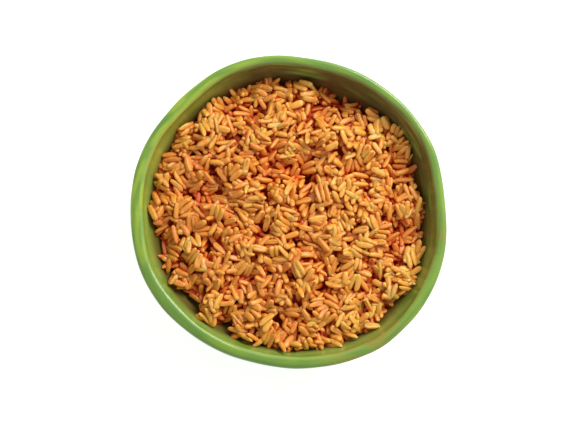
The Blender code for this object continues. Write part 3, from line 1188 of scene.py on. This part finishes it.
    @staticmethod
    def _placed(points: Array, column: dict[str, Array], roll: Array) -> Array:
        """Turns grains about their own length, tips them, heads them and puts them where they lie.

        Args:
            points: An array of grain, point and axis, along x.
            column: The grains' places, headings and slopes.
            roll: Turn of each grain about its length.

        Returns:
            The placed points.
        """
        x, y, z = points[:, :, 0], points[:, :, 1], points[:, :, 2]
        roll = roll[:, None]
        y, z = y * np.cos(roll) - z * np.sin(roll), y * np.sin(roll) + z * np.cos(roll)
        pitch = np.arctan(column["slope"][:, 0])
        x, z = x * np.cos(pitch) - z * np.sin(pitch), x * np.sin(pitch) + z * np.cos(pitch)
        heading = column["heading"][:, 0]
        x, y = x * np.cos(heading) - y * np.sin(heading), x * np.sin(heading) + y * np.cos(heading)
        middles = np.concatenate((column["x"], column["y"], column["level"]), axis=-1)
        return np.stack((x, y, z), axis=-1) + middles

    def build_core(self) -> bpy.types.Object:
        """The rice below the loose grains: from the glaze up to a bumpy top under them.

        Returns:
            The core.
        """
        azimuth = np.linspace(0, 2 * math.pi, self.core_sides, endpoint=False)[None, :]
        edge_level = self.core_edge_level
        edge = self.bowl.inside_radius(edge_level, azimuth) - 2 * self.core_gap
        share = (np.arange(1, self.core_rings + 1) / self.core_rings)[:, None]
        x = edge * share * np.cos(azimuth) + self.bowl.shift[0]
        y = edge * share * np.sin(azimuth) + self.bowl.shift[1]
        top = self.mean_level(x, y) - self.core_depth
        spots = np.stack((x, y, np.zeros(x.shape)), axis=-1).reshape(-1, 3)
        top = top + self.bump_height * noise_at(spots, self.bump_length).reshape(top.shape)
        top = edge_level + np.minimum(top - edge_level, self.core_swell) * (1 - share**self.core_onset)
        profile = self.bowl.wall_profile(-2 * self.core_gap, -2 * self.core_gap)
        below = profile[(profile[:, 1] < edge_level - self.core_step) & (profile[:, 0] > 0.0)][::-1]
        press = wave_sum(self.bowl.waves, azimuth) * below[:, 1:] / self.bowl.height
        across = below[:, :1] + press * np.minimum(below[:, :1] / self.bowl.foot_radius, 1)
        under_x = across * np.cos(azimuth) + self.bowl.shift[0]
        under_y = across * np.sin(azimuth) + self.bowl.shift[1]
        under = np.stack((under_x, under_y, below[:, 1:] + 0.0 * azimuth), axis=-1)
        rings = np.concatenate((np.stack((x, y, top), axis=-1), under)).reshape(-1, 3)
        middle = self.bowl.shift
        first = (middle[0], middle[1], float(top[0].mean()))
        last = (middle[0], middle[1], float(profile[0, 1]))
        points = np.vstack(([first], rings, [last]))
        faces = [tuple(reversed(face)) for face in ring_faces(self.core_rings + len(below), self.core_sides)]
        made = mesh_piece("rice_core", points, faces, {})
        made.data.materials.append(self.core_finish.material())
        return made

    def build(self) -> Iterator[bpy.types.Object]:
        """Makes the core, and one piece for each kind of grain.

        Returns:
            The pieces, one after the other.
        """
        yield self.build_core()
        surface = HeapSurface(self.bowl)
        grains = self.lay(surface)
        above = (self.dome_level(surface.x, surface.y) + surface.local_mean(self.crevice_reach)) / 2
        rice = self.finish.material()
        one = ring_faces(self.rings, self.sides)
        for number, kind in enumerate(GrainKind):
            mine = [grain for grain in grains if grain.kind is kind]
            points, marks = self.grain_points(mine, surface, above, np.random.default_rng(SEED + number))
            size = points.shape[1]
            faces = [tuple(corner + size * i for corner in face) for i in range(len(mine)) for face in one]
            made = mesh_piece(f"{kind.name.lower()}_grains", points.reshape(-1, 3), faces, marks)
            made.data.materials.append(rice)
            yield made


@dataclass
class Studio:
    """Plain pale floor, a soft key light from the upper right, and a camera looking almost straight down."""

    floor_half: float = 3.0
    floor_gap: float = 0.05 * MM  # between the floor and the foot
    key_size: float = 0.62
    key_distance: float = 1.1
    key_azimuth: float = 48.0
    key_elevation: float = 43.0
    key_power: float = 12.8
    fill_strength: float = 0.53
    lens: float = 85.0
    camera_distance: float = 0.7085  # from the lip's plane
    camera_elevation: float = 85.5
    camera_azimuth: float = 250.0
    aim: tuple[float, float] = (1.0 * MM, -2.0 * MM)

    def build(self, lip_level: float) -> None:
        """Sets the floor, the light and the camera.

        Args:
            lip_level: Height of the bowl's lip, which the light and the camera are aimed at.
        """
        self._floor()
        self._light(lip_level)
        self._camera(lip_level)

    def _floor(self) -> None:
        """The floor, just under the bowl's foot."""
        half = self.floor_half
        corners = np.array([(-half, -half, 0.0), (half, -half, 0.0), (half, half, 0.0), (-half, half, 0.0)])
        floor = mesh_piece("floor", corners - (0, 0, self.floor_gap), [(0, 1, 2, 3)], {})
        floor.data.materials.append(PaleFloor().material())

    def _light(self, lip_level: float) -> None:
        """The key light and the even fill of the room."""
        towards = direction(self.key_azimuth, self.key_elevation)
        light = bpy.data.lights.new("key_light", "AREA")
        light.shape = "DISK"
        light.size = self.key_size
        light.energy = self.key_power
        key = bpy.data.objects.new("key_light", light)
        key.location = towards * self.key_distance + Vector((0, 0, lip_level))
        key.rotation_mode = "QUATERNION"
        key.rotation_quaternion = towards.to_track_quat("Z", "Y")
        bpy.context.scene.collection.objects.link(key)
        world = bpy.data.worlds.new("room")
        world.use_nodes = True
        room = world.node_tree.nodes["Background"]
        room.inputs["Color"].default_value = (1.0, 1.0, 1.0, 1.0)
        room.inputs["Strength"].default_value = self.fill_strength
        bpy.context.scene.world = world

    def _camera(self, lip_level: float) -> None:
        """The camera, tilted a few degrees from straight down."""
        camera = bpy.data.cameras.new("camera")
        camera.lens = self.lens
        made = bpy.data.objects.new("camera", camera)
        back = direction(self.camera_azimuth, self.camera_elevation)
        made.location = Vector((*self.aim, lip_level)) + back * self.camera_distance
        made.rotation_mode = "QUATERNION"
        made.rotation_quaternion = Vector((0, 0, 1)).rotation_difference(back)
        bpy.context.scene.collection.objects.link(made)
        bpy.context.scene.camera = made
        bpy.context.scene.view_settings.view_transform = "Standard"


def dress(piece: bpy.types.Object, node: str) -> None:
    """Lets a piece stand for a solid.

    Args:
        piece: The piece.
        node: The solid's name.
    """
    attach(piece, "root")
    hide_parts(node)
    logging.info("%s: %d faces", piece.name, len(piece.data.polygons))


def main() -> None:
    """Builds the bowl, the rice and the studio."""
    logging.basicConfig(level=logging.INFO, format="%(message)s")
    bowl = GlazedBowl()
    dress(bowl.build(), "bowl")
    for piece in RiceHeap(bowl).build():
        dress(piece, "rice")
    Studio().build(bowl.height)


if __name__ == "__main__":
    main()
